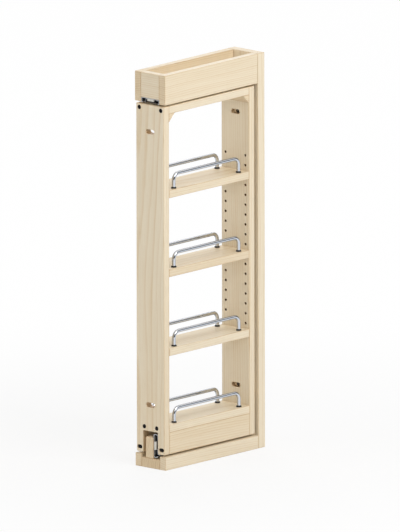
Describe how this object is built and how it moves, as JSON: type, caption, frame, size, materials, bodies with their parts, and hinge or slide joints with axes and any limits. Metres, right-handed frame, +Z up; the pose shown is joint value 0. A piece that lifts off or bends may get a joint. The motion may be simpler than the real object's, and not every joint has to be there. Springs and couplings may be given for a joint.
{
  "type": "wall filler pull-out",
  "caption": "Narrow kitchen filler unit: a tall frame of railed shelves that slides forward on ball-bearing slides between a fixed top box and bottom box.",
  "frame": {"origin": "middle of the unit's width and depth, at the level of its underside, with the pull-out closed", "axes": "+X to the far side, -Y towards the front panel and the way the frame pulls out, +Z up"},
  "size_m": [0.0762, 0.2826, 0.762],
  "materials": {
    "maple": "clear satin lacquer over pale maple",
    "zinc_steel": "bright zinc plate",
    "cage_steel": "plain rolled strip",
    "ball_steel": "polished",
    "screw_steel": "zinc plated",
    "bumper_rubber": "matt, natural white",
    "rail_chrome": "polished plate",
    "foot_plastic": "fine texture",
    "pin_steel": "nickel plated",
    "black_screw": "black oxide"
  },
  "bodies": {
    "housing": {"top_side_near": "maple", "top_side_far": "maple", "top_end_piece": "maple", "top_web": "maple", "bottom_side_near": "maple", "bottom_side_far": "maple", "bottom_floor": "maple", "rail_board": "maple", "upper_slide_outer": "zinc_steel", "lower_slide_outer": "zinc_steel", "slide_bumpers": "bumper_rubber", "outer_slide_screws": "screw_steel"},
    "upper_middle": {"upper_slide_middle": "zinc_steel"},
    "upper_outer_ball_cage": {"upper_outer_cage": "cage_steel", "upper_outer_balls": "ball_steel"},
    "upper_inner_ball_cage": {"upper_inner_cage": "cage_steel", "upper_inner_balls": "ball_steel"},
    "lower_middle": {"lower_slide_middle": "zinc_steel"},
    "lower_outer_ball_cage": {"lower_outer_cage": "cage_steel", "lower_outer_balls": "ball_steel"},
    "lower_inner_ball_cage": {"lower_inner_cage": "cage_steel", "lower_inner_balls": "ball_steel"},
    "pull_out": {"back_board": "maple", "front_board": "maple", "top_rail": "maple", "corner_block_back": "maple", "corner_block_front": "maple", "apron_near": "maple", "apron_far": "maple", "fixed_shelf": "maple", "shelf_1": "maple", "shelf_2": "maple", "shelf_3": "maple", "panel_spacers": "maple", "front_panel": "maple", "upper_slide_inner": "zinc_steel", "lower_slide_inner": "zinc_steel", "inner_slide_screws": "screw_steel", "panel_screws": "screw_steel", "wire_rail_0_near": "rail_chrome", "wire_rail_0_far": "rail_chrome", "wire_rail_1_near": "rail_chrome", "wire_rail_1_far": "rail_chrome", "wire_rail_2_near": "rail_chrome", "wire_rail_2_far": "rail_chrome", "wire_rail_3_near": "rail_chrome", "wire_rail_3_far": "rail_chrome", "rail_feet": "foot_plastic", "shelf_pins": "pin_steel", "frame_screws": "black_screw", "apron_screws": "black_screw", "apron_washers": "foot_plastic"}
  },
  "joints": [
    {"name": "pull_out_slide", "type": "slide", "parent": "housing", "child": "pull_out", "axis": [0, -1, 0], "range_m": [0, 0.25]},
    {"name": "upper_middle_slide", "type": "slide", "parent": "housing", "child": "upper_middle", "axis": [0, -1, 0], "range_m": [0, 0.125]},
    {"name": "upper_outer_ball_cage_slide", "type": "slide", "parent": "housing", "child": "upper_outer_ball_cage", "axis": [0, -1, 0], "range_m": [0, 0.0625]},
    {"name": "upper_inner_ball_cage_slide", "type": "slide", "parent": "housing", "child": "upper_inner_ball_cage", "axis": [0, -1, 0], "range_m": [0, 0.1875]},
    {"name": "lower_middle_slide", "type": "slide", "parent": "housing", "child": "lower_middle", "axis": [0, -1, 0], "range_m": [0, 0.125]},
    {"name": "lower_outer_ball_cage_slide", "type": "slide", "parent": "housing", "child": "lower_outer_ball_cage", "axis": [0, -1, 0], "range_m": [0, 0.0625]},
    {"name": "lower_inner_ball_cage_slide", "type": "slide", "parent": "housing", "child": "lower_inner_ball_cage", "axis": [0, -1, 0], "range_m": [0, 0.1875]}
  ],
  "couplings": [
    {"joint": "upper_middle_slide", "follows": "pull_out_slide", "ratio": 0.5},
    {"joint": "upper_outer_ball_cage_slide", "follows": "pull_out_slide", "ratio": 0.25},
    {"joint": "upper_inner_ball_cage_slide", "follows": "pull_out_slide", "ratio": 0.75},
    {"joint": "lower_middle_slide", "follows": "pull_out_slide", "ratio": 0.5},
    {"joint": "lower_outer_ball_cage_slide", "follows": "pull_out_slide", "ratio": 0.25},
    {"joint": "lower_inner_ball_cage_slide", "follows": "pull_out_slide", "ratio": 0.75}
  ]
}
